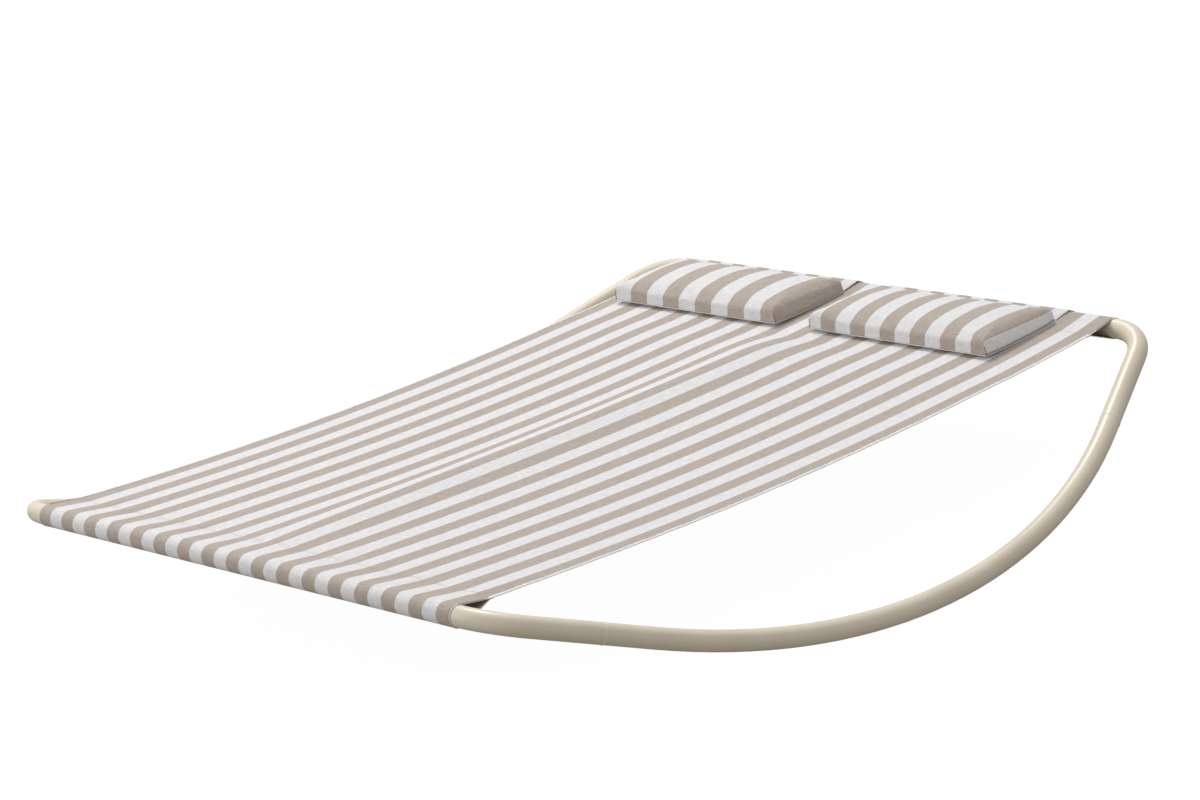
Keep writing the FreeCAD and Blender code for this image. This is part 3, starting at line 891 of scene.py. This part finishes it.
def welt(pillow, finish):
    """A flat cord of folded tape round three sides of the base."""
    rim = np.array(pillow.rim)
    line = np.concatenate([rim[ROWS_ACROSS:], rim[:1]])
    ahead = np.gradient(line, axis=0)
    outward = np.cross(ahead, [0.0, 0.0, -1.0])
    outward /= np.linalg.norm(outward, axis=1, keepdims=True)
    centre = line.mean(0)
    outward *= np.sign(((line - centre) * outward).sum(1))[:, None]
    reach = np.array([-0.3, 0.7, 1.0, 0.7, -0.3]) * WELT_OUT
    rise = np.array([1.0, 0.95, 0.5, 0.05, 0.0]) * WELT_THICK
    upward = np.array([0, 0, 1.0])
    points = line[:, None] + outward[:, None] * reach[None, :, None] + upward * rise[None, :, None]
    gone = np.concatenate([[0], np.cumsum(np.linalg.norm(np.diff(line, axis=0), axis=1))])
    flat = np.stack(np.meshgrid(reach + rise, gone), -1)
    return lay_grid(pillow.side + "_pillow_welt", points, flat, finish)


def dart_lines(pillow):
    """The two corner darts, each a little proud of the case."""
    return [np.array(corner) + np.array([side * 0.7, -0.7, 0.1]) * DART_PROUD
            for side, corner in zip((-1, 1), pillow.corners)]


def fine_cord(name, lines, radius, finish):
    """Thin round cords along lines, as one piece."""
    points, faces = [], []
    for line in lines:
        ahead = np.gradient(line, axis=0)
        ahead /= np.linalg.norm(ahead, axis=1, keepdims=True)
        for ring, (spot, way) in enumerate(zip(line, ahead)):
            beside = np.cross(way, [0.6, 0.8, 0.0])
            beside /= np.linalg.norm(beside)
            over = np.cross(beside, way)
            here, following = len(points), len(points) + CORD_SIDES
            points += [spot + radius * (beside * cos(a) + over * sin(a))
                       for a in np.linspace(0, 2 * pi, CORD_SIDES, endpoint=False)]
            if ring < len(line) - 1:
                faces += [(here + side, here + (side + 1) % CORD_SIDES, following + (side + 1) % CORD_SIDES,
                           following + side) for side in range(CORD_SIDES)]
    return place_mesh(name, points, faces, finish)


# The darts' dark cords are painted shade in the crease of each dart.
dart_crease_shadow = sewing_thread("dart_crease_shadow", DART_SHADOW_COLOUR, DART_SHADE)
for side, pillow in pillows.items():
    body = side + "_pillow"
    edge_welt = welt(pillow, binding_tape)
    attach(edge_welt, body)
    darts = fine_cord(side + "_pillow_dart_shadows", dart_lines(pillow), DART_R, dart_crease_shadow)
    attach(darts, body)


# ---- Pillow flaps ----
# A flap of the sling's canvas is sewn to each pillow's back edge.  It goes over the top of the
# head bar and down behind it, and is held under the bar by hook and loop tape.

FLAP_R = 0.0243
FLAP_CLOTH = 0.0011
FLAP_LIFT = 0.0026
FLAP_END = radians(-110.5)
FLAP_SHIFT = 0.0574
FLAP_FROM_PILLOW = 0.0003
FLAP_SEWN_AT = 0.0022
FLAP_LIFT_AT = radians(96)
FLAP_LIFT_REACH = radians(15)
FLAP_ROUND_ROWS = 64
FLAP_COLUMNS = 86
FLAP_PUCKER = 0.0005
FLAP_PUCKER_LENGTH = 0.071


def flap_line(pillow):
    """The flap's line as rows of y and z, from the pillow's back edge to its end under the bar."""
    start_y, start_z = pillow.back_y + FLAP_FROM_PILLOW, pillow.back_z + FLAP_SEWN_AT
    to_y, to_z = start_y - bar_y, start_z - bar_z
    leave = atan2(to_z, to_y) - acos(FLAP_R / hypot(to_y, to_z))
    turn = np.linspace(leave, FLAP_END, FLAP_ROUND_ROWS)
    loose = FLAP_LIFT * np.exp(-((turn - FLAP_LIFT_AT) / FLAP_LIFT_REACH) ** 2)
    round_y, round_z = round_bar(turn, FLAP_R + loose)
    share = np.linspace(0, 1, 16)[:-1]
    return (np.concatenate([start_y + (round_y[0] - start_y) * share, round_y]),
            np.concatenate([start_z + (round_z[0] - start_z) * share, round_z]))


def make_flap(pillow, finish):
    """One flap with its thickness, slightly wavy where it is sewn to the pillow, and its flat length."""
    y, z = flap_line(pillow)
    x = np.linspace(pillow.middle - pillow.half, pillow.middle + pillow.half, FLAP_COLUMNS)
    along = np.concatenate([[0], np.cumsum(np.hypot(np.diff(y), np.diff(z)))])
    across, back = np.meshgrid(x, y)
    height = np.repeat(z[:, None], len(x), 1)
    near_pillow = np.clip((bar_y - 0.004 - back) / 0.03, 0, 1)
    wave = np.sin(2 * pi * across / FLAP_PUCKER_LENGTH) * np.sin(pi * near_pillow)
    height = height + near_pillow * FLAP_PUCKER * wave
    flat = np.stack(np.meshgrid(x - pillow.middle, along), -1)
    made = lay_grid(pillow.side + "_flap", np.stack([across, back, height], -1), flat, finish)
    return thicken(made, FLAP_CLOTH), along[-1]


flap_canvas = canvas("flap_canvas", SLING_STRIPE, FLAP_SHIFT)
for side, pillow in pillows.items():
    flap, flap_length = make_flap(pillow, flap_canvas)
    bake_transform(flap)
    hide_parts(side + "_pillow_flap", side + "_bar_wrap")


# ---- Hook and loop tapes ----
# Under the head bar, a strip of soft loop tape on the pocket faces a strip of hook tape on the flap.
# Both are white nylon, one brushed and one bristly.

TAPE_WHITE = (0.72, 0.71, 0.69, 1)
TAPE_SHADE = (0.42, 0.41, 0.40, 1)


def fastening_tape(name, tuft, depth):
    """Nylon tape covered in tufts of one size."""
    made, tree, surface = start_finish(name)
    place = tree.nodes.new("ShaderNodeTexCoord").outputs["Object"]
    tufts = add_step(tree, "ShaderNodeTexVoronoi", {"Vector": place, "Scale": 1 / tuft})
    tone = shade_between(tree, tufts.outputs["Distance"], TAPE_WHITE, TAPE_SHADE, 0.1, 0.8)
    bumps = add_step(tree, "ShaderNodeBump", {"Height": tufts.outputs["Distance"], "Strength": 0.8,
                                              "Distance": depth}, invert=True)
    tree.links.new(tone, surface.inputs["Base Color"])
    tree.links.new(bumps.outputs["Normal"], surface.inputs["Normal"])
    surface.inputs["Roughness"].default_value = 0.7
    surface.inputs["Sheen Weight"].default_value = 0.3
    return made


loop_nylon = fastening_tape("brushed_loop", 0.0007, 0.0005)
hook_nylon = fastening_tape("bristly_hook", 0.0011, 0.0006)
for side in ("left", "right"):
    coat_node(side + "_loop_tape", loop_nylon)
    coat_node(side + "_hook_tape", hook_nylon)


# ---- Studio ----
# A plain white floor under soft light from all round.  One large lamp hangs high behind the left
# pillow, and a weaker one stands low beyond the foot bar.
# The camera looks down along the bed from beyond its right foot corner, tipped a little on its axis.

FLOOR_HALF = 60.0
CAMERA_AIM = Vector((-0.0812, 0.1121, 0.2398))
CAMERA_AZIMUTH = radians(50.081)
CAMERA_ELEVATION = radians(16.624)
CAMERA_DISTANCE = 8.6254
CAMERA_TIP = radians(8.709)
CAMERA_LENS = 123.91
MAIN_LAMP = (Vector((-6.6, 4.6, 12.0)), 4.0, 1150.0)
FRONT_LAMP = (Vector((-2.6, -5.0, 2.2)), 3.0, 85.0)
FLOOR_COLOUR = (0.06, 0.06, 0.06, 1)
FLOOR_GLOW = 0.97
SKY = (0.60, 0.61, 0.62, 1)
GROUND_LIGHT = (0.26, 0.24, 0.22, 1)
GROUND_UP_TO = -0.35
SKY_FROM = 0.25


def lay_floor():
    """A wide floor just below the rockers, which throws no light back."""
    steps = np.linspace(-FLOOR_HALF, FLOOR_HALF, 9)
    across, along = np.meshgrid(steps, steps)
    made, _, surface = start_finish("pale_floor")
    surface.inputs["Base Color"].default_value = FLOOR_COLOUR
    surface.inputs["Roughness"].default_value = 1.0
    surface.inputs["Specular IOR Level"].default_value = 0.0
    surface.inputs["Emission Color"].default_value = (1, 1, 1, 1)
    surface.inputs["Emission Strength"].default_value = FLOOR_GLOW
    points = np.stack([across, along, np.full_like(across, -0.0005)], -1)
    floor = lay_grid("floor", points, np.stack([across, along], -1), made)
    floor.visible_diffuse = False
    floor.visible_glossy = False


def light_all_round():
    """Bright above and dimmer below, as light comes off a studio's walls and floor."""
    room = bpy.data.worlds.new("studio")
    bpy.context.scene.world = room
    room.use_nodes = True
    tree = room.node_tree
    way = add_step(tree, "ShaderNodeSeparateXYZ", {
        "Vector": tree.nodes.new("ShaderNodeTexCoord").outputs["Generated"]})
    height = add_step(tree, "ShaderNodeMapRange", {
        "Value": way.outputs["Z"], "From Min": GROUND_UP_TO, "From Max": SKY_FROM})
    glow = shade_between(tree, height.outputs["Result"], GROUND_LIGHT, SKY)
    tree.links.new(glow, tree.nodes["Background"].inputs["Color"])


def hang_lamp(name, place, size, power):
    """A round soft lamp, turned to the middle of the bed."""
    light = bpy.data.lights.new(name, "AREA")
    light.shape = "DISK"
    light.size = size
    light.energy = power
    lamp = bpy.data.objects.new(name, light)
    bpy.context.scene.collection.objects.link(lamp)
    lamp.location = place
    lamp.rotation_euler = (CAMERA_AIM - place).to_track_quat("-Z", "Y").to_euler()


def set_camera():
    """A long lens, turned a little about the line that it looks along."""
    back = Vector((sin(CAMERA_AZIMUTH) * cos(CAMERA_ELEVATION), -cos(CAMERA_AZIMUTH) * cos(CAMERA_ELEVATION),
                   sin(CAMERA_ELEVATION)))
    lens = bpy.data.cameras.new("camera")
    lens.lens = CAMERA_LENS
    lens.sensor_width = 36
    lens.clip_start, lens.clip_end = 0.1, 200
    camera = bpy.data.objects.new("camera", lens)
    bpy.context.scene.collection.objects.link(camera)
    camera.location = CAMERA_AIM + back * CAMERA_DISTANCE
    camera.rotation_mode = "QUATERNION"
    camera.rotation_quaternion = (-back).to_track_quat("-Z", "Y") @ Quaternion((0, 0, 1), -CAMERA_TIP)
    bpy.context.scene.camera = camera


lay_floor()
light_all_round()
hang_lamp("main_lamp", *MAIN_LAMP)
hang_lamp("front_lamp", *FRONT_LAMP)
set_camera()
bpy.context.scene.view_settings.view_transform = "Standard"
